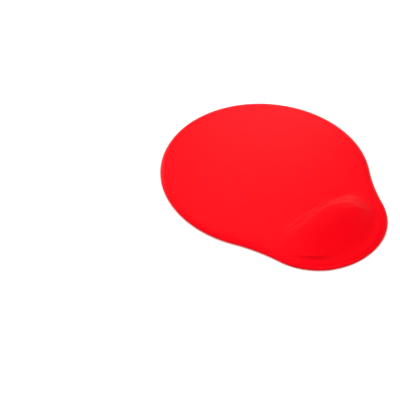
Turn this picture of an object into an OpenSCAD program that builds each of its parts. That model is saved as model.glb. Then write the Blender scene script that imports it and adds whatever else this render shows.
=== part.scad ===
// Mouse pad with a built-in gel wrist rest.
//
// The round mousing surface narrows through a soft neck on each side into a wide
// rounded lobe, and the lobe carries a D-shaped gel cushion. From the top down the
// pad is a stretch-knit cover, a gel pouch of two welded films, a foam sheet with a
// shallow pocket for the pouch, and a non-slip base sheet. The cover rolls down over
// the foam almost to the base, and the foam shows below it as a thin bevelled lip.
//
// Millimetres. The underside lies on Z = 0, the outline's box is centred on
// X = Y = 0, and +Y points away from the user's wrist.

/* [Pad outline] */
// Radius of the round mousing surface
surface_r = 105; // [100:1:110]
// Width of the lobe that carries the cushion
lobe_w = 136; // [135:1:142]
// Radius of the lobe's sides
lobe_side_r = 62; // [58:1:64]
// Radius of the lobe's front edge
lobe_front_r = 78; // [76:1:84]
// Distance from the centre of the round surface forward to the lobe's sides
lobe_drop = 79; // [76:1:84]
// Radius of the hollow neck between the round surface and the lobe
neck_r = 175; // [150:5:220]

/* [Pad layers] */
// Thickness of the finished pad away from the cushion
pad_t = 4.5; // [4:0.1:6]
// Thickness of the non-slip base sheet
base_t = 0.5; // [0.4:0.1:1]
// Thickness of the knit cover
cover_t = 0.6; // [0.4:0.1:0.8]
// Height of the foam's bevelled lip at the cut edge
lip_h = 0.2; // [0.2:0.1:0.6]
// How far the foam's lip stands out past the cover
lip_w = 0.4; // [0.3:0.1:1]
// How far the base sheet's edge stands back under the foam
base_setback = 0.3; // [0:0.1:1.5]
// How far in from the edge the cover starts to roll down
rim_reach = 7; // [4:0.5:7]

/* [Cushion outline] */
// Width of the cushion, side to side
cushion_w = 108; // [100:1:110]
// Flat border between the cushion and the lobe's front edge
cushion_border = 10.5; // [10:0.5:12]
// Radius of the cushion's front edge
cushion_front_r = 64; // [60:1:65]
// Radius of the cushion's sides
cushion_side_r = 25; // [22:1:26]
// Radius of the cushion's two back corners
cushion_corner_r = 16; // [12:1:20]
// Radius of the cushion's gently bowed back edge
cushion_back_r = 260; // [240:10:600]
// Bearing, up from sideways, at which a side turns into its back corner
corner_bearing = 20; // [10:1:30]

/* [Cushion height] */
// Rise of the cushion's crest above the pad
cushion_rise = 12.5; // [8:0.5:16]
// Distance from the cushion's front edge back to its crest line
crest_setback = 46; // [43:0.5:48]
// Length of the crest line
crest_len = 52; // [46:1:60]
// How far the crest line bows forward at its two ends
crest_bow = 12; // [6:0.5:14]
// How far the crest line falls towards its two ends
crest_fall = 3.8; // [0:0.2:5]
// Width of the small flat along the crest line
crest_w = 3; // [2:0.5:5]

/* [Gel pouch] */
// Thickness of each pouch film
film_t = 0.3; // [0.2:0.05:0.4]
// Width of the welded flange outside the cushion's edge
flange_w = 2; // [1:0.5:2]

/* [Hidden] */

// Steps along each arc of a right half, back to front; both halves total the same,
// so that a point of the pad's outline pairs with one of the cushion's
pad_steps = [20, 5, 14, 9];
cushion_steps = [10, 10, 10, 18];
dome_steps = 10;
rim_steps = 6;

// Bulge exponents [foot, shoulder] of the cushion's section behind, beside and in
// front of the crest: a higher foot softens the crease, a higher shoulder broadens the top
back_bulge = [1.6, 2.4];
side_bulge = [1.3, 2.2];
front_bulge = [1.2, 2.4];

// Heights of the layers' faces
cover_edge_z = base_t + lip_h;
foam_top_z = pad_t - cover_t;
pocket_z = foam_top_z - 2 * film_t;
rim_drop = foam_top_z - cover_edge_z;

// Centres of the outline's arcs, with the centre of the round surface at the origin
lobe_side_c = [lobe_w / 2 - lobe_side_r, -lobe_drop];
front_angle = -acos(lobe_side_c.x / (lobe_front_r - lobe_side_r));
lobe_front_c = [0, lobe_side_c.y - (lobe_front_r - lobe_side_r) * sin(front_angle)];
neck_c = circles_meet(surface_r + neck_r, lobe_side_c, lobe_side_r + neck_r);
front_y = lobe_front_c.y - lobe_front_r;

// Centres of the cushion's arcs, in the same coordinates
cushion_front_y = front_y + cushion_border;
cushion_front_c = [0, cushion_front_y + cushion_front_r];
side_x = cushion_w / 2 - cushion_side_r;
side_c = [side_x, cushion_front_c.y - leg(cushion_front_r - cushion_side_r, side_x)];
corner_c = side_c + (cushion_side_r - cushion_corner_r) * [cos(corner_bearing), sin(corner_bearing)];
back_c = [0, corner_c.y - leg(cushion_back_r - cushion_corner_r, corner_c.x)];
crest_y = cushion_front_y + crest_setback;

// How far the round surface's centre lies behind the frame's origin
frame_shift = -(surface_r + front_y) / 2;

// The other leg of a right triangle
function leg(hypotenuse, side) = sqrt(hypotenuse * hypotenuse - side * side);

// Direction of a vector, in degrees
function bearing(v) = atan2(v.y, v.x);

// The right-hand meeting point of a circle of radius r round the origin and one
// of radius s round c
function circles_meet(r, c, s) =
    let (d = norm(c), along = (d * d + r * r - s * s) / (2 * d), unit = c / d)
    along * unit + leg(r, along) * [-unit.y, unit.x];

// One arc as [point, outward bearing] pairs, without its end, which opens the next
// arc. A hollow arc turns its outside towards its own centre.
function arc(centre, radius, from, to, steps, hollow = false) =
    [for (k = [0:steps - 1])
        let (a = from + (to - from) * k / steps)
        [centre + radius * [cos(a), sin(a)], hollow ? a - 180 : a]];

// A closed loop from its right half and the point where that half meets X = 0
function both_halves(half, front) =
    concat(half, [front], [for (k = [len(half) - 1:-1:1]) [[-half[k][0].x, half[k][0].y], 180 - half[k][1]]]);

// The pad's outline, moved in by inset
function pad_loop(inset) =
    let (neck_from = bearing(neck_c), neck_to = bearing(neck_c - lobe_side_c))
    both_halves(
        concat(
            arc([0, 0], surface_r - inset, 90, neck_from, pad_steps[0]),
            arc(neck_c, neck_r + inset, neck_from + 180, neck_to + 180, pad_steps[1], true),
            arc(lobe_side_c, lobe_side_r - inset, neck_to, front_angle, pad_steps[2]),
            arc(lobe_front_c, lobe_front_r - inset, front_angle, -90, pad_steps[3])
        ),
        [[0, front_y + inset], -90]
    );

// The cushion's edge on the pad, moved in by inset
function cushion_loop(inset) =
    let (back_to = bearing(corner_c - back_c), front_from = bearing(side_c - cushion_front_c))
    both_halves(
        concat(
            arc(back_c, cushion_back_r - inset, 90, back_to, cushion_steps[0]),
            arc(corner_c, cushion_corner_r - inset, back_to, corner_bearing, cushion_steps[1]),
            arc(side_c, cushion_side_r - inset, corner_bearing, front_from, cushion_steps[2]),
            arc(cushion_front_c, cushion_front_r - inset, front_from, -90, cushion_steps[3])
        ),
        [[0, cushion_front_y + inset], -90]
    );

// A loop's points in the frame, and the same at one height
function placed(loop) = [for (p = loop) [p[0].x, p[0].y + frame_shift]];
function ring(loop, z) = [for (p = placed(loop)) [p.x, p.y, z]];

// Share of the rise reached at share s of the way from the cushion's edge to the
// crest, where the edge faces the given bearing
function bulge(s, facing) =
    let (
        back = pow(max(0, sin(facing)), 2),
        front = pow(max(0, -sin(facing)), 2),
        shape = back * back_bulge + front * front_bulge + (1 - back - front) * side_bulge
    )
    1 - pow(1 - pow(s, shape[0]), shape[1]);

// The flat along the crest, a long slim bowed ellipse with one point for each of the
// edge's, and how high the surface climbs to that point
function crest_loop(n) =
    [for (k = [0:n - 1])
        let (a = 360 * k / n)
        [crest_len / 2 * sin(a), crest_y - crest_bow * pow(sin(a), 2) + crest_w / 2 * cos(a)]];
function crest_rise(k, n) = cushion_rise - crest_fall * pow(sin(360 * k / n), 2);

// Rings of the cushion's surface from its edge at base_z up to the crest
function dome(inset, base_z) =
    let (foot = cushion_loop(inset), n = len(foot), crest = crest_loop(n))
    [for (j = [0:dome_steps])
        let (s = j / dome_steps)
        [for (k = [0:n - 1])
            let (here = foot[k][0] + s * (crest[k] - foot[k][0]))
            [here.x, here.y + frame_shift, base_z + crest_rise(k, n) * bulge(s, foot[k][1])]]];

// Rings of the rolled rim, from the cover's edge at edge_z in and up to the flat
function rim(edge_z) =
    [for (k = [0:rim_steps])
        let (a = 90 * k / rim_steps)
        ring(pad_loop(rim_reach - (rim_reach - lip_w) * cos(a)), edge_z + rim_drop * sin(a))];

function reversed(list) = [for (k = [len(list) - 1:-1:0]) list[k]];

// Inset that keeps a layer's thickness about even down the cushion's steep back
function layer_inset(depth) = depth / 2;

// One flat face over a ring of n points
function over(first, n) = [[for (k = [0:n - 1]) first + k]];

// Faces over a crest ring, as strips from each of its points to the one across from it
function across(first, n) =
    [for (k = [-n / 4:n / 4 - 1])
        let (ends = [k, k + 1, n / 2 - k - 1, n / 2 - k])
        [for (i = [0:3])
            if (!(k == -n / 4 && i == 3) && !(k == n / 4 - 1 && i == 2))
                first + (ends[i] + n) % n]];

// A closed solid through rings with equal numbers of points, from its lower or
// inner end to its upper or outer end, where the ends named are crest rings
module skin(rings, from_crest = false, to_crest = false) {
    n = len(rings[0]);
    last = len(rings) - 1;
    polyhedron(
        points = [for (r = rings) each r],
        faces = concat(
            [for (f = from_crest ? across(0, n) : over(0, n)) reversed(f)],
            to_crest ? across(last * n, n) : over(last * n, n),
            [for (j = [0:last - 1], k = [0:n - 1])
                [j * n + k, j * n + (k + 1) % n, (j + 1) * n + (k + 1) % n]],
            [for (j = [0:last - 1], k = [0:n - 1])
                [j * n + k, (j + 1) * n + (k + 1) % n, (j + 1) * n + k]]
        )
    );
}

// Stretch knit over the foam and the pouch, in one piece
module fabric_cover() {
    color("#fe1922")
        skin(concat(
            reversed(dome(layer_inset(cover_t), foam_top_z)),
            reversed(rim(cover_edge_z)),
            rim(cover_edge_z + cover_t),
            dome(0, pad_t)
        ), from_crest = true, to_crest = true);
}

// Foam sheet with a rolled rim, a thin bevelled lip below it and the pouch's pocket
module foam_sheet() {
    color("#f4a6a6")
        skin(concat(
            [ring(pad_loop(0), base_t)],
            rim(cover_edge_z),
            [ring(cushion_loop(-flange_w), foam_top_z), ring(cushion_loop(-flange_w), pocket_z)]
        ));
}

// Thermoformed upper film of the pouch: a dome with a flat welded flange
module gel_pouch_film() {
    color("#d9dde2")
        skin(concat(
            reversed(dome(layer_inset(cover_t + film_t), foam_top_z - film_t)),
            [ring(cushion_loop(-flange_w), foam_top_z - film_t), ring(cushion_loop(-flange_w), foam_top_z)],
            dome(layer_inset(cover_t), foam_top_z)
        ), from_crest = true, to_crest = true);
}

// Soft gel that fills the pouch
module gel_fill() {
    color("#9cc7e8")
        skin(dome(layer_inset(cover_t + film_t), foam_top_z - film_t), to_crest = true);
}

// Flat lower film of the pouch
module gel_backing_film() {
    color("#c7ccd2")
        translate([0, 0, pocket_z])
            linear_extrude(film_t)
                polygon(placed(cushion_loop(-flange_w)));
}

// Non-slip sheet that the pad stands on
module base_sheet() {
    color("#1d1c1e")
        linear_extrude(base_t)
            polygon(placed(pad_loop(base_setback)));
}

fabric_cover();
foam_sheet();
gel_pouch_film();
gel_fill();
gel_backing_film();
base_sheet();
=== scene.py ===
import math

import bpy
import numpy as np
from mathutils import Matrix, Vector


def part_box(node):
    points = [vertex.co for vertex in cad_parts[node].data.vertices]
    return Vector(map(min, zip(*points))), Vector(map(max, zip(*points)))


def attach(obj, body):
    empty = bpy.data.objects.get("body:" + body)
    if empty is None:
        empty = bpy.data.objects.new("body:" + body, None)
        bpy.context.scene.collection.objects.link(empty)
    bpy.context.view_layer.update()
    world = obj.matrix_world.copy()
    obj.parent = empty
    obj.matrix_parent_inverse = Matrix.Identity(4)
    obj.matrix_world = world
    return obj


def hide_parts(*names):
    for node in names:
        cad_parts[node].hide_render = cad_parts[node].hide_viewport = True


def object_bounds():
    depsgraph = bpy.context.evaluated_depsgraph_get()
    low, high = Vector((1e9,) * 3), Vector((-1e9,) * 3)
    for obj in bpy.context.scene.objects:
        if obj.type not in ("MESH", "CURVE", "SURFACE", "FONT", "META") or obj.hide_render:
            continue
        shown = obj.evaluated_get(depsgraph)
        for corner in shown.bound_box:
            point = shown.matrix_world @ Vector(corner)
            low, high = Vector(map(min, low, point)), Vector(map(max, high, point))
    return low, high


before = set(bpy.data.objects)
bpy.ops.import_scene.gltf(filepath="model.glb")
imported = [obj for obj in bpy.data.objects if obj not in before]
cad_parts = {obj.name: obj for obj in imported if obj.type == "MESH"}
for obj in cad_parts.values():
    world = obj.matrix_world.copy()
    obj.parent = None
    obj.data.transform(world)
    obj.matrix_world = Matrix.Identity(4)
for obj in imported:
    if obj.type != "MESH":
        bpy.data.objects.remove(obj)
CAD_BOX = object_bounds()

# A mouse pad with a built-in gel wrist cushion, in metres. Every layer is built here as its
# own closed piece on the CAD model's outlines, and stands for its CAD node.

# Outline of the pad, from the same driving dimensions as the CAD model
SURFACE_R = 0.105
LOBE_W = 0.136
LOBE_SIDE_R = 0.062
LOBE_FRONT_R = 0.078
LOBE_DROP = 0.079
NECK_R = 0.175

# Outline of the cushion on the pad
CUSHION_W = 0.108
CUSHION_BORDER = 0.0105
CUSHION_FRONT_R = 0.064
CUSHION_SIDE_R = 0.025
CUSHION_CORNER_R = 0.016
CUSHION_BACK_R = 0.260
CORNER_BEARING = 20

# Crest line of the cushion: it bows forward and falls towards its two ends. It is slimmer, and
# bows and falls less, than the one of the plain CAD solid.
CREST_SETBACK = 0.046
CREST_LEN = 0.052
CREST_W = 0.001
CREST_BOW = 0.0105
CREST_FALL = 0.0028

# Heights of the layers' faces, as the CAD nodes have them
FOAM_LOW, FOAM_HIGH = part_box("foam_sheet")
BASE_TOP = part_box("base_sheet")[1].z
FOAM_TOP = FOAM_HIGH.z
POCKET_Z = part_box("gel_backing_film")[0].z
GEL_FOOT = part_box("gel_fill")[0].z
LIP_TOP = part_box("fabric_cover")[0].z
CREST_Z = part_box("fabric_cover")[1].z
COVER_T = 0.0006
PAD_TOP = FOAM_TOP + COVER_T
RISE = CREST_Z - PAD_TOP
FILM_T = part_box("gel_backing_film")[1].z - POCKET_Z
FLANGE_W = 0.002
BASE_SETBACK = 0.0003

# How far in from the edge the cover starts to roll down
RIM_REACH = 0.007

# The pressed edge pulls the flat down a little, and the pull fades out over this distance
EDGE_PULL = 0.00010
PULL_REACH = 0.024

# How far the foam's lip stands out past the cover: most along one side of the round
# surface, and hardly round the lobe, where the cover reaches down to the base
LIP_NARROW = 0.00008
LIP_WIDE = 0.0009
LIP_WIDEST_BEARING = 200

# The lip's width wavers in two ways: how strongly, and how often round the pad
LIP_WAVERS = ((0.12, 5, 1), (0.08, 11, 0))
LIP_LEAST_SHARE = 0.05

# Points of a right half along each arc, back to front, in step with each other
PAD_STEPS = (100, 25, 70, 45)
CUSHION_STEPS = (50, 50, 50, 90)

# Rows of the cover's mesh
DOME_ROWS = 48
FLAT_ROWS = 30
RIM_ROWS = 14
INNER_ROWS = 16
UNDER_RIM_ROWS = RIM_ROWS // 2
UNDER_FLAT_ROWS = 8

# The dome is evened out in this many steps, each by this share of the way, which is less
# below this share of the way up
RELAX_STEPS = 45
RELAX_SHARE = 0.5
RELAX_FOOT = 0.25

# Height and wavelengths of the flat's slight unevenness, and how near the cushion it fades out
UNEVENNESS = 0.00003
WAVE_ACROSS = 0.083
WAVE_ALONG = 0.071
WAVE_SLANTED = 0.047
WAVE_FADE = 0.010


# ---------------------------------------------------------------- outlines

def smooth(t):
    """A soft step from 0 to 1 as t goes from 0 to 1."""
    t = np.clip(t, 0, 1)
    return t * t * (3 - 2 * t)


def bearing(v):
    return math.degrees(math.atan2(v[1], v[0]))


def leg(hypotenuse, side):
    return math.sqrt(hypotenuse ** 2 - side ** 2)


def arc(centre, radius, start, stop, steps, hollow=False):
    """Points of one arc and their outward directions, without its end, which opens the next arc."""
    angle = np.radians(np.linspace(start, stop, steps, endpoint=False))
    ray = np.stack([np.cos(angle), np.sin(angle)], axis=1)
    return np.asarray(centre) + radius * ray, -ray if hollow else ray


def both_halves(arcs, front):
    """A closed loop from the arcs of its right half and the point where that half meets X = 0."""
    points = np.concatenate([a[0] for a in arcs] + [[front]])
    outward = np.concatenate([a[1] for a in arcs] + [[(0, -1)]])
    mirror = np.array((-1, 1))
    return (np.concatenate([points, points[-2:0:-1] * mirror]),
            np.concatenate([outward, outward[-2:0:-1] * mirror]))


def pad_outline():
    centre = np.array((0, FOAM_HIGH.y - SURFACE_R))
    side = centre + (LOBE_W / 2 - LOBE_SIDE_R, -LOBE_DROP)
    turn = LOBE_FRONT_R - LOBE_SIDE_R
    front_angle = -math.degrees(math.acos(side[0] / turn))
    front = np.array((0, side[1] - turn * math.sin(math.radians(front_angle))))
    to_side = side - centre
    apart = np.linalg.norm(to_side)
    reach, side_reach = SURFACE_R + NECK_R, LOBE_SIDE_R + NECK_R
    along = (apart ** 2 + reach ** 2 - side_reach ** 2) / (2 * apart)
    unit = to_side / apart
    neck = centre + along * unit + leg(reach, along) * np.array((-unit[1], unit[0]))
    neck_from, neck_to = bearing(neck - centre), bearing(neck - side)
    return both_halves((
        arc(centre, SURFACE_R, 90, neck_from, PAD_STEPS[0]),
        arc(neck, NECK_R, neck_from + 180, neck_to + 180, PAD_STEPS[1], hollow=True),
        arc(side, LOBE_SIDE_R, neck_to, front_angle, PAD_STEPS[2]),
        arc(front, LOBE_FRONT_R, front_angle, -90, PAD_STEPS[3]),
    ), (0, front[1] - LOBE_FRONT_R))


def cushion_outline():
    front_y = FOAM_LOW.y + CUSHION_BORDER
    front = np.array((0, front_y + CUSHION_FRONT_R))
    side_x = CUSHION_W / 2 - CUSHION_SIDE_R
    side = np.array((side_x, front[1] - leg(CUSHION_FRONT_R - CUSHION_SIDE_R, side_x)))
    turn = math.radians(CORNER_BEARING)
    corner = side + (CUSHION_SIDE_R - CUSHION_CORNER_R) * np.array((math.cos(turn), math.sin(turn)))
    back = np.array((0, corner[1] - leg(CUSHION_BACK_R - CUSHION_CORNER_R, corner[0])))
    back_to, front_from = bearing(corner - back), bearing(side - front)
    return both_halves((
        arc(back, CUSHION_BACK_R, 90, back_to, CUSHION_STEPS[0]),
        arc(corner, CUSHION_CORNER_R, back_to, CORNER_BEARING, CUSHION_STEPS[1]),
        arc(side, CUSHION_SIDE_R, CORNER_BEARING, front_from, CUSHION_STEPS[2]),
        arc(front, CUSHION_FRONT_R, front_from, -90, CUSHION_STEPS[3]),
    ), (0, front_y))


PAD, PAD_OUT = pad_outline()
CUSHION, CUSHION_OUT = cushion_outline()
COLUMNS = len(PAD)

# The flat along the cushion's crest, a slim bowed ellipse with one point for each column,
# and how high the surface climbs to it
TURN = 2 * np.pi * np.arange(COLUMNS) / COLUMNS
CREST = np.stack([
    CREST_LEN / 2 * np.sin(TURN),
    (FOAM_LOW.y + CUSHION_BORDER + CREST_SETBACK
     - CREST_BOW * np.sin(TURN) ** 2 + CREST_W / 2 * np.cos(TURN)),
], axis=1)
CREST_RISE = RISE - CREST_FALL * np.sin(TURN) ** 2


def inset(outline, outward, depth):
    """A loop moved in by depth, which is one number or one for each column."""
    return outline - outward * np.reshape(depth, (-1, 1))


def ring(loop, z):
    return np.column_stack([loop, np.broadcast_to(z, len(loop))])


# ---------------------------------------------------------------- the cushion's form

def bump(s, centre, reach):
    return np.exp(-((s - centre) / reach) ** 2)


def section(fillet, easing, shoulder):
    """Height share against the way from foot to crest, for a section that leaves the pad over
    a soft fillet, climbs, with its slope easing upwards, and turns level over its shoulder."""
    s = np.linspace(0, 1, 401)
    slope = smooth(s / fillet) * (1 - easing * s) * (1 - smooth((s - shoulder) / (1 - shoulder)))
    height = np.concatenate([[0], np.cumsum((slope[1:] + slope[:-1]) / 2)])
    return height / height[-1]


# Sections behind, beside and in front of the crest
BACK_SECTION = section(fillet=0.34, easing=0.33, shoulder=0.65)
SIDE_SECTION = section(fillet=0.34, easing=-0.30, shoulder=0.74)
FRONT_SECTION = section(fillet=0.15, easing=0.24, shoulder=0.18)

# The gel's toe: a small bulge just inside the cushion's front left corner
TOE_X = -0.037
TOE_HALF = 0.012
TOE_SHARE = 0.08
TOE_HEIGHT = 0.0017


def climb(s):
    """The dome's height share at share s of the way up each column."""
    facing = CUSHION_OUT[:, 1]
    back, front = np.maximum(facing, 0) ** 2, np.maximum(-facing, 0) ** 2
    grid = np.linspace(0, 1, len(BACK_SECTION))
    return (back * np.interp(s, grid, BACK_SECTION) + front * np.interp(s, grid, FRONT_SECTION)
            + (1 - back - front) * np.interp(s, grid, SIDE_SECTION))


def toe(s):
    """How far the toe lifts the surface at share s of the way up each column."""
    along = bump(CUSHION[:, 0], TOE_X, TOE_HALF) * smooth(-2 * CUSHION_OUT[:, 1])
    return TOE_HEIGHT * along * s / TOE_SHARE * math.exp(1 - s / TOE_SHARE)


def relaxed(rows, steps):
    """Evens out rings that climb from a foot to a crest, less and less towards the foot. Past
    the crest, each point's neighbour is the one that lies across it."""
    across_crest = (COLUMNS // 2 - np.arange(COLUMNS)) % COLUMNS
    share = RELAX_SHARE * smooth(np.linspace(0, 1, len(rows)) / RELAX_FOOT)[:, None, None]
    for _ in range(steps):
        above = np.concatenate([rows[1:], rows[-1:, across_crest]])
        below = np.concatenate([rows[:1], rows[:-1]])
        around = (np.roll(rows, 1, axis=1) + np.roll(rows, -1, axis=1) + above + below) / 4
        rows = rows + share * (around - rows)
    return rows


def relaxed_form():
    """Rings of the cushion's surface from the foot up to the crest."""
    shares = np.linspace(0, 1, DOME_ROWS + 1)
    rows = np.array([
        np.column_stack([CUSHION + s * (CREST - CUSHION), CREST_RISE * climb(s)]) for s in shares
    ])
    rows = relaxed(rows, RELAX_STEPS)
    rows[:, :, 2] += [toe(s) for s in shares]
    rows[:, :, 2] *= RISE / rows[:, :, 2].max()
    return rows


FORM = relaxed_form()


# ---------------------------------------------------------------- meshes

def across(first, count):
    """Faces that close a crest ring: strips between the points that lie opposite each other."""
    quarter = count // 4
    faces = []
    for k in range(-quarter, quarter):
        quad = (k % count, (k + 1) % count, (count // 2 - k - 1) % count, (count // 2 - k) % count)
        faces.append([first + i for i in dict.fromkeys(quad)])
    return faces


def piece(name, points, faces):
    mesh = bpy.data.meshes.new(name)
    mesh.from_pydata(np.asarray(points).tolist(), [], faces)
    mesh.validate()
    mesh.polygons.foreach_set("use_smooth", np.ones(len(mesh.polygons), dtype=bool))
    made = bpy.data.objects.new(name, mesh)
    bpy.context.scene.collection.objects.link(made)
    return made


def skin(name, rings, start="across", end="across"):
    """A closed piece through rings of equal length. A crest ring is closed across its width,
    a flat one with one face, and an open one stays open."""
    count = len(rings[0])
    faces = []
    for j in range(len(rings) - 1):
        low, high = j * count, (j + 1) * count
        for k in range(count):
            after = (k + 1) % count
            faces.append((low + k, high + k, high + after, low + after))
    last = (len(rings) - 1) * count
    ends = {
        "across": (lambda first: across(first, count)),
        "flat": (lambda first: [list(range(first, first + count))]),
        "open": (lambda first: []),
    }
    faces += ends[start](0)
    faces += [list(reversed(f)) for f in ends[end](last)]
    return piece(name, np.concatenate(rings), faces)


# ---------------------------------------------------------------- cloth

def between(values, at):
    """Smooth (Catmull-Rom) values between the rows of an array, at fractional rows."""
    base = np.clip(np.floor(at).astype(int), 0, len(values) - 2)
    t = (at - base).reshape((-1,) + (1,) * (values.ndim - 1))
    p0, p1, p2, p3 = (values[np.clip(base + d, 0, len(values) - 1)] for d in (-1, 0, 1, 2))
    cubic = 3 * (p1 - p2) + p3 - p0
    square = 2 * p0 - 5 * p1 + 4 * p2 - p3
    return p1 + 0.5 * t * (p2 - p0 + t * (square + t * cubic))


# The knit is stretched over the gel: its dome, pinned at the crease, is inflated by a
# short cloth simulation on a coarse mesh, and how far it moves is added to the fine one
SIM_EVERY = 5
SIM_ROWS = 16
SIM_FRAMES = 20
SIM_PRESSURE = 30.0
SWELL_CAP = 0.0012


def swelled():
    """How far each point of the coarse dome moves, as rows by columns by three."""
    start = between(FORM, np.linspace(0, DOME_ROWS, SIM_ROWS + 1))[:, ::SIM_EVERY]
    count = start.shape[1]
    cloth = skin("swelling", list(start), start="open")
    pinned = cloth.vertex_groups.new(name="pinned")
    pinned.add(list(range(count)), 1.0, "REPLACE")
    settings = cloth.modifiers.new("cloth", "CLOTH").settings
    settings.quality = 10
    settings.mass = 0.15
    settings.tension_stiffness = 40
    settings.compression_stiffness = 40
    settings.shear_stiffness = 20
    settings.bending_stiffness = 2
    settings.vertex_group_mass = "pinned"
    settings.use_pressure = True
    settings.uniform_pressure_force = SIM_PRESSURE
    settings.effector_weights.gravity = 0
    scene = bpy.context.scene
    for number in range(1, SIM_FRAMES + 1):
        scene.frame_set(number)
    shaped = cloth.evaluated_get(bpy.context.evaluated_depsgraph_get()).to_mesh()
    moved = np.zeros(len(shaped.vertices) * 3)
    shaped.vertices.foreach_get("co", moved)
    bpy.data.objects.remove(cloth)
    scene.frame_set(1)
    return moved.reshape(start.shape) - start


def spread_round(rows, steps=3):
    """Evens a swell out, round the cushion and up it, without moving its foot."""
    for _ in range(steps):
        rows = (np.roll(rows, 1, axis=1) + 2 * rows + np.roll(rows, -1, axis=1)) / 4
        rows[1:-1] = (rows[:-2] + 2 * rows[1:-1] + rows[2:]) / 4
    return rows


SWELL = spread_round(swelled())
LENGTHS = np.linalg.norm(SWELL, axis=2, keepdims=True)
SWELL *= np.minimum(1, SWELL_CAP / np.maximum(LENGTHS, 1e-9))


def swell_for(rows):
    """The swell at every column and at the given number of rows above the foot."""
    wrapped = np.concatenate([SWELL[:, -2:], SWELL, SWELL[:, :3]], axis=1)
    at = np.arange(COLUMNS) / SIM_EVERY + 2
    full = between(wrapped.transpose(1, 0, 2), at).transpose(1, 0, 2)
    return between(full, np.linspace(0, len(SWELL) - 1, rows + 1))


def full_dome(rows, depth, foot_z):
    """Rings of the swelled cushion, or of a layer depth under its skin at the foot."""
    made = between(FORM, np.linspace(0, DOME_ROWS, rows + 1)) + swell_for(rows)
    to_foot = np.linspace(1, 0, rows + 1)[:, None, None]
    made[:, :, :2] -= to_foot * depth * CUSHION_OUT
    made[:, :, 2] += foot_z
    return list(made)


# ---------------------------------------------------------------- cover and foam

def lip_shares():
    """How much of the foam's lip shows at each column, from 0 to 1."""
    round_surface = np.arctan2(PAD[:, 1] - (FOAM_HIGH.y - SURFACE_R), PAD[:, 0])
    toward = 0.5 + 0.5 * np.cos(round_surface - math.radians(LIP_WIDEST_BEARING))
    uneven = sum(size * np.sin(times * TURN + start) for size, times, start in LIP_WAVERS)
    return np.clip(toward ** 2 + uneven * toward, LIP_LEAST_SHARE, 1)


LIP_SHARE = lip_shares()
LIP = LIP_NARROW + (LIP_WIDE - LIP_NARROW) * LIP_SHARE
EDGE_Z = BASE_TOP + (LIP_TOP - BASE_TOP) * LIP_SHARE
RIM_WIDTH = RIM_REACH - LIP
RIM_HEIGHT = PAD_TOP - EDGE_PULL - EDGE_Z


def rolled_rim(rows, depth=0.0):
    """Rings of the cover's rolled edge, from the cut edge up, or of a face depth inside it."""
    rings = []
    for angle in np.linspace(0, math.pi / 2, rows + 1):
        aside, up = math.cos(angle), math.sin(angle)
        normal = np.stack([aside / RIM_WIDTH, up / RIM_HEIGHT])
        normal /= np.linalg.norm(normal, axis=0)
        rings.append(ring(inset(PAD, PAD_OUT, RIM_REACH - RIM_WIDTH * aside + depth * normal[0]),
                          EDGE_Z + RIM_HEIGHT * up - depth * normal[1]))
    return rings


def flat(outer, inner, rows, unevenness=0.0):
    """Rings strictly between the rim and the cushion's foot. The pull of the edge fades out
    from the rim, and the flat is very slightly uneven."""
    width = np.linalg.norm((inner - outer)[:, :2], axis=1)
    rings = []
    for s in np.linspace(0, 1, rows + 2)[1:-1]:
        made = outer + (inner - outer) * s
        settled = smooth(s * width / np.minimum(PULL_REACH, width))
        x, y = made[:, 0], made[:, 1]
        waves = (np.sin(2 * np.pi * (x + 0.3 * y) / WAVE_ACROSS + 1)
                 * np.sin(2 * np.pi * (y - 0.2 * x) / WAVE_ALONG)
                 + 0.5 * np.sin(2 * np.pi * (x - y) / WAVE_SLANTED + 2))
        made[:, 2] = (outer[:, 2] + (inner[:, 2] - outer[:, 2]) * settled
                      + unevenness * waves * settled * smooth((1 - s) * width / WAVE_FADE))
        rings.append(made)
    return rings


def make_cover():
    rim = rolled_rim(RIM_ROWS)
    top = full_dome(DOME_ROWS, 0, PAD_TOP)
    under_rim = rolled_rim(UNDER_RIM_ROWS, COVER_T)
    under = full_dome(INNER_ROWS, COVER_T / 2, FOAM_TOP)
    outside = rim + flat(rim[-1], top[0], FLAT_ROWS, UNEVENNESS) + top
    inside = under_rim + flat(under_rim[-1], under[0], UNDER_FLAT_ROWS) + under
    return skin("cover", inside[::-1] + outside)


def make_foam():
    under_rim = rolled_rim(UNDER_RIM_ROWS, COVER_T)
    lip_top = ring(inset(PAD, PAD_OUT, LIP), EDGE_Z)
    lip_mid = ring(inset(PAD, PAD_OUT, LIP * 0.3), BASE_TOP + 0.6 * (EDGE_Z - BASE_TOP))
    pocket = ring(inset(CUSHION, CUSHION_OUT, -FLANGE_W), FOAM_TOP)
    return skin("foam", [ring(PAD, BASE_TOP), lip_mid, lip_top] + under_rim
                + flat(under_rim[-1], pocket, UNDER_FLAT_ROWS)
                + [pocket, ring(pocket[:, :2], POCKET_Z)], start="flat", end="flat")


def make_pouch_film():
    flange = inset(CUSHION, CUSHION_OUT, -FLANGE_W)
    inner = full_dome(INNER_ROWS, (COVER_T + FILM_T) / 2, GEL_FOOT)
    outer = full_dome(INNER_ROWS, COVER_T / 2, FOAM_TOP)
    return skin("pouch_film", inner[::-1] + [ring(flange, GEL_FOOT), ring(flange, FOAM_TOP)] + outer)


def make_gel():
    return skin("gel", full_dome(INNER_ROWS, (COVER_T + FILM_T) / 2, GEL_FOOT), start="flat")


def make_backing_film():
    flange = inset(CUSHION, CUSHION_OUT, -FLANGE_W)
    return skin("pouch_backing_film", [ring(flange, POCKET_Z), ring(flange, GEL_FOOT)],
                start="flat", end="flat")


# ---------------------------------------------------------------- base sheet

# Wavy non-slip ribs under the base sheet
RIB_PITCH = 0.003
RIB_TOP = 0.0010
RIB_FLANK = 0.0004
RIB_DEPTH = 0.0004
RIB_WAVE_LENGTH = 0.020
RIB_WAVE_HEIGHT = 0.0022
RIB_WAVE_STEP = 0.002

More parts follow.
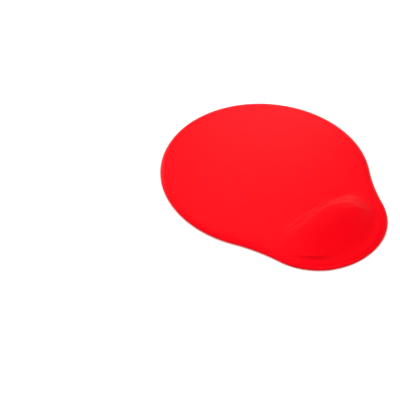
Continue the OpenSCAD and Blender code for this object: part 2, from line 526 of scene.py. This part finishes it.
# How far the ribbed stock reaches past the pad, and the cutter above and below it
STOCK_MARGIN = 0.006
CUTTER_REACH = 0.01


def make_base():
    """A sheet cut to the outline from a stock with wavy ribs underneath."""
    low, high = FOAM_LOW, FOAM_HIGH
    across_x = np.arange(low.x - STOCK_MARGIN, high.x + STOCK_MARGIN, RIB_WAVE_STEP)
    rib_rows = []
    half = RIB_TOP / 2
    for y in np.arange(low.y - STOCK_MARGIN, high.y + STOCK_MARGIN, RIB_PITCH):
        rib_rows += [(y - half - RIB_FLANK, RIB_DEPTH), (y - half, 0), (y + half, 0),
                     (y + half + RIB_FLANK, RIB_DEPTH)]
    wave = RIB_WAVE_HEIGHT * np.sin(2 * np.pi * across_x / RIB_WAVE_LENGTH)
    points = np.array([(x, y + w, z) for y, z in rib_rows for x, w in zip(across_x, wave)])
    wide, deep = len(across_x), len(rib_rows)
    faces = [(j * wide + i, (j + 1) * wide + i, (j + 1) * wide + i + 1, j * wide + i + 1)
             for j in range(deep - 1) for i in range(wide - 1)]
    # the sheet's top face, over the same border
    border = ([i for i in range(wide)] + [j * wide + wide - 1 for j in range(1, deep)]
              + [(deep - 1) * wide + i for i in range(wide - 2, -1, -1)]
              + [j * wide for j in range(deep - 2, 0, -1)])
    top = points[border].copy()
    top[:, 2] = BASE_TOP
    first = len(points)
    count = len(border)
    faces += [(border[i], border[(i + 1) % count], first + (i + 1) % count, first + i)
              for i in range(count)]
    faces.append(list(range(first, first + count)))
    stock = piece("base", np.concatenate([points, top]), faces)
    outline = inset(PAD, PAD_OUT, BASE_SETBACK)
    cutter = skin("cutter", [ring(outline, -CUTTER_REACH), ring(outline, CUTTER_REACH)],
                  start="flat", end="flat")
    cut = stock.modifiers.new("cut", "BOOLEAN")
    cut.operation = "INTERSECT"
    cut.solver = "MANIFOLD"
    cut.object = cutter
    made = bpy.data.meshes.new_from_object(stock.evaluated_get(bpy.context.evaluated_depsgraph_get()))
    stock.modifiers.clear()
    stock.data = made
    bpy.data.objects.remove(cutter)
    made.polygons.foreach_set("use_smooth", np.zeros(len(made.polygons), dtype=bool))
    return stock


# ---------------------------------------------------------------- materials

class Finish:
    """A material round one Principled shader, and short ways to add its nodes."""

    def __init__(self, name, **sockets):
        self.material = bpy.data.materials.new(name)
        self.material.use_nodes = True
        self.nodes = self.material.node_tree.nodes
        self.links = self.material.node_tree.links
        self.shader = self.nodes["Principled BSDF"]
        for socket, value in sockets.items():
            self.shader.inputs[socket.replace("_", " ")].default_value = value

    def plug(self, value, socket):
        if isinstance(value, bpy.types.NodeSocket):
            self.links.new(value, socket)
        elif value is not None:
            socket.default_value = value

    def node(self, kind, inputs=(), **settings):
        made = self.nodes.new(kind)
        for key, value in settings.items():
            setattr(made, key, value)
        for key, value in dict(inputs).items():
            self.plug(value, made.inputs[key])
        return made

    def math(self, operation, a, b=None):
        made = self.nodes.new("ShaderNodeMath")
        made.operation = operation
        self.plug(a, made.inputs[0])
        self.plug(b, made.inputs[1])
        return made.outputs[0]

    def place(self):
        """The point's coordinates on the object, as three sockets and the vector."""
        vector = self.node("ShaderNodeTexCoord").outputs["Object"]
        parts = self.node("ShaderNodeSeparateXYZ", {0: vector}).outputs
        return vector, parts[0], parts[1], parts[2]

    def noise(self, vector, size, detail=3.0, rough=0.5):
        """Soft noise whose patches are about size metres across."""
        return self.node("ShaderNodeTexNoise", {
            "Vector": vector, "Scale": 1 / size, "Detail": detail, "Roughness": rough,
        }).outputs["Fac"]

    def ranged(self, value, low, high, from_low=0.0, from_high=1.0):
        return self.node("ShaderNodeMapRange", {
            "Value": value, "From Min": from_low, "From Max": from_high, "To Min": low, "To Max": high,
        }).outputs["Result"]

    def blend(self, share, a, b):
        """A colour between a and b."""
        made = self.node("ShaderNodeMix", data_type="RGBA")
        self.plug(share, made.inputs["Factor"])
        self.plug(a, made.inputs[6])
        self.plug(b, made.inputs[7])
        return made.outputs[2]

    def use(self, colour=None, roughness=None, height=None, relief=0.0001):
        self.plug(colour, self.shader.inputs["Base Color"])
        self.plug(roughness, self.shader.inputs["Roughness"])
        if height is not None:
            bump = self.node("ShaderNodeBump", {"Height": height, "Distance": relief, "Strength": 1.0})
            self.plug(bump.outputs["Normal"], self.shader.inputs["Normal"])


# Painted shade: the knit's colour darkens towards its cut edge, below this height, standing in for the
# shade on the rolled rim's lower part
EDGE_SHADE_TOP = 0.0024

# Painted shade under the toe: the knit's colour is darker along the crease, where the toe's shadow
# falls, and its finish is duller, in a band this wide that lies this far inside the cushion's foot
CREASE_SHADE_HALF = 0.0014
CREASE_SHADE_INSET = 0.0013


def crease_curve():
    """The cushion's foot near its toe: factors of Y as a square function of the way along X."""
    along = CUSHION[:, 0] - TOE_X
    near = (np.abs(along) < TOE_HALF) & (CUSHION_OUT[:, 1] < 0)
    return [float(c) for c in np.polyfit(along[near], CUSHION[near, 1], 2)]


def painted_crease_shade(f, x, y):
    """How strongly the painted crease shade shows, as a socket from 0 to 1."""
    square, linear, level = crease_curve()
    along = f.math("SUBTRACT", x, TOE_X)
    bend = f.math("MULTIPLY", f.math("ADD", f.math("MULTIPLY", along, square), linear), along)
    off = f.math("SUBTRACT", f.math("SUBTRACT", y, level + CREASE_SHADE_INSET), bend)
    off, along = f.math("DIVIDE", off, CREASE_SHADE_HALF), f.math("DIVIDE", along, TOE_HALF)
    spread = f.math("ADD", f.math("MULTIPLY", off, off), f.math("MULTIPLY", along, along))
    return f.math("EXPONENT", f.math("MULTIPLY", spread, -1.0))


def knit():
    """Fine stretch jersey: columns of small V-shaped loops, soft tone changes, matt with a sheen;
    painted shade in the loop gaps, along the cut edge and in the crease under the toe.
    """
    loop_w, loop_h = 0.00065, 0.00050
    # Painted shade colours: the first darkens the cut edge, the second the crease under the toe
    painted_edge_shade, crease_shade_colour = (0.36, 0.0002, 0.0045, 1), (0.60, 0.0002, 0.0042, 1)
    f = Finish("cover_knit", Sheen_Weight=0.01, Sheen_Roughness=0.45, Specular_IOR_Level=0.026)
    vector, x, y, z = f.place()
    drift = f.ranged(f.noise(vector, 0.004, 2), -0.00006, 0.00006)
    u = f.math("DIVIDE", f.math("ADD", x, drift), loop_w)
    across_loop = f.math("ABSOLUTE", f.math("SUBTRACT", f.math("FRACT", u), 0.5))
    column = f.math("COSINE", f.math("MULTIPLY", across_loop, math.pi))
    slant = f.math("ADD", f.math("DIVIDE", y, loop_h), f.math("MULTIPLY", across_loop, 1.4))
    loops = f.math("SINE", f.math("MULTIPLY", slant, 2 * math.pi))
    yarn = f.math("MULTIPLY", column, f.ranged(loops, 0.45, 1.0, -1.0, 1.0))
    fuzz = f.noise(vector, 0.00025, 4, 0.7)
    height = f.math("ADD", yarn, f.math("MULTIPLY", fuzz, 0.35))
    mottle = f.ranged(f.noise(vector, 0.018, 4), 0.0, 0.35)
    deep = f.blend(mottle, (0.86, 0.0006, 0.0070, 1), (0.80, 0.0004, 0.0055, 1))
    # Painted shade: the knit is darker red in the gaps between its loops, lighter on their crowns
    colour = f.blend(f.ranged(yarn, 0.0, 1.0, 0.1, 0.9), (0.74, 0.0003, 0.0045, 1), deep)
    # Painted shade along the cut edge: darker red low on the rim
    colour = f.blend(f.ranged(z, 0.0, 1.0, BASE_TOP, EDGE_SHADE_TOP), painted_edge_shade, colour)
    # Painted shade in the crease under the toe, with a duller finish there
    crease_shade = painted_crease_shade(f, x, y)
    colour = f.blend(crease_shade, colour, crease_shade_colour)
    rough = f.math("ADD", f.ranged(fuzz, 0.30, 0.42), f.math("MULTIPLY", crease_shade, 0.3))
    f.use(colour, rough, height, 0.00006)
    return f.material


def cut_foam():
    """Closed-cell foam, with small cells showing on its cut edge, and painted shade in the cells'
    hollows.
    """
    f = Finish("foam_cells", Specular_IOR_Level=0.25)
    vector = f.place()[0]
    cells = f.node("ShaderNodeTexVoronoi", {"Vector": vector, "Scale": 1 / 0.0003}).outputs["Distance"]
    tone = f.noise(vector, 0.003, 3)
    # Painted shade: darker where the cells' bump height is low, in their hollows
    colour = f.blend(f.ranged(cells, 0.0, 1.0, 0.1, 0.7), (0.62, 0.20, 0.19, 1),
                     f.blend(tone, (0.88, 0.42, 0.40, 1), (0.80, 0.36, 0.34, 1)))
    f.use(colour, f.ranged(tone, 0.75, 0.95), cells, 0.00008)
    return f.material


def ribbed_rubber():
    """Matt black rubber with a fine moulded grain and a faint dusty bloom."""
    f = Finish("base_rubber", Specular_IOR_Level=0.35)
    vector = f.place()[0]
    grain = f.noise(vector, 0.0004, 4, 0.65)
    bloom = f.noise(vector, 0.030, 5)
    colour = f.blend(f.ranged(bloom, 0.0, 1.0, 0.35, 0.75),
                     (0.014, 0.014, 0.015, 1), (0.030, 0.030, 0.032, 1))
    f.use(colour, f.ranged(bloom, 0.55, 0.80), grain, 0.00005)
    return f.material


def welded_film(name, tint):
    """Clear polyurethane film, slightly uneven and with faint haze."""
    f = Finish(name, IOR=1.5, Alpha=0.45)
    vector = f.place()[0]
    haze = f.noise(vector, 0.006, 4)
    colour = f.blend(haze, tint, tuple(0.9 * c for c in tint[:3]) + (1,))
    f.use(colour, f.ranged(haze, 0.12, 0.28), f.noise(vector, 0.0015, 3), 0.00004)
    return f.material


def clear_gel():
    """Soft clear gel with a faint cloudy tint."""
    f = Finish("gel", IOR=1.42, Transmission_Weight=0.6, Subsurface_Weight=0.0)
    vector = f.place()[0]
    cloud = f.noise(vector, 0.012, 4)
    colour = f.blend(cloud, (0.60, 0.78, 0.92, 1), (0.50, 0.70, 0.88, 1))
    f.use(colour, f.ranged(cloud, 0.06, 0.16), f.noise(vector, 0.003, 2), 0.00005)
    return f.material


def pale_floor():
    f = Finish("floor", Specular_IOR_Level=0.1)
    vector = f.place()[0]
    tone = f.noise(vector, 0.25, 2)
    f.use(f.blend(tone, (0.92, 0.92, 0.92, 1), (0.93, 0.93, 0.93, 1)), f.ranged(tone, 0.8, 0.9))
    return f.material


# ---------------------------------------------------------------- the object

def finish_piece(made, material, slot, *nodes):
    made.data.materials.clear()
    made.data.materials.append(material)
    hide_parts(*nodes)
    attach(made, "root")
    return made


cover = finish_piece(make_cover(), knit(), "cover_knit", "fabric_cover")
foam = finish_piece(make_foam(), cut_foam(), "foam", "foam_sheet")
film = finish_piece(make_pouch_film(), welded_film("pouch_film", (0.85, 0.87, 0.90, 1)),
                    "pouch_film", "gel_pouch_film")
gel = finish_piece(make_gel(), clear_gel(), "gel", "gel_fill")
backing = finish_piece(make_backing_film(), welded_film("backing_film", (0.80, 0.82, 0.85, 1)),
                       "pouch_film", "gel_backing_film")
base = finish_piece(make_base(), ribbed_rubber(), "base_rubber", "base_sheet")

# ---------------------------------------------------------------- studio

# The camera looks down from the front left, with the pad to the right of the picture's middle
VIEW_AZIMUTH = -35.07
VIEW_ELEVATION = 45.63
VIEW_DISTANCE = 0.759
VIEW_TARGET = Vector((-0.0768, 0.0222, 0))
LENS = 70.65
SENSOR = 36


def toward(azimuth, elevation):
    """The unit vector from the object towards a place at that azimuth and elevation."""
    a, e = math.radians(azimuth), math.radians(elevation)
    return Vector((math.sin(a) * math.cos(e), -math.cos(a) * math.cos(e), math.sin(e)))


def make_camera():
    data = bpy.data.cameras.new("camera")
    data.lens = LENS
    data.sensor_width = SENSOR
    data.clip_start = 0.01
    camera = bpy.data.objects.new("camera", data)
    out = toward(VIEW_AZIMUTH, VIEW_ELEVATION)
    camera.location = VIEW_TARGET + VIEW_DISTANCE * out
    camera.rotation_euler = out.to_track_quat("Z", "Y").to_euler()
    bpy.context.scene.collection.objects.link(camera)
    bpy.context.scene.camera = camera


def make_softbox(name, azimuth, elevation, distance, size, watts):
    data = bpy.data.lights.new(name, "AREA")
    data.shape = "RECTANGLE"
    data.size, data.size_y = size
    data.energy = watts
    lamp = bpy.data.objects.new(name, data)
    out = toward(azimuth, elevation)
    lamp.location = distance * out
    lamp.rotation_euler = out.to_track_quat("Z", "Y").to_euler()
    bpy.context.scene.collection.objects.link(lamp)


def make_floor():
    half = 4.0
    z = CAD_BOX[0][2] - 0.00002
    floor = piece("floor", [(-half, -half, z), (half, -half, z), (half, half, z), (-half, half, z)],
                  [(0, 1, 2, 3)])
    floor.data.materials.append(pale_floor())


def make_world(strength):
    world = bpy.data.worlds.new("studio")
    world.use_nodes = True
    background = world.node_tree.nodes["Background"]
    background.inputs["Color"].default_value = (1, 1, 1, 1)
    background.inputs["Strength"].default_value = strength
    bpy.context.scene.world = world


make_camera()
make_floor()
make_world(0.37)
make_softbox("back_softbox", 136, 19, 0.6, (0.28, 0.26), 1.2)
make_softbox("rim_softbox", 192, 14, 0.7, (0.3, 0.2), 1.7)
make_softbox("left_softbox", 236, 60, 1.0, (1.4, 1.4), 11.0)
make_softbox("front_softbox", 0, 33, 1.3, (0.6, 0.6), 7.2)
bpy.context.scene.view_settings.view_transform = "Standard"
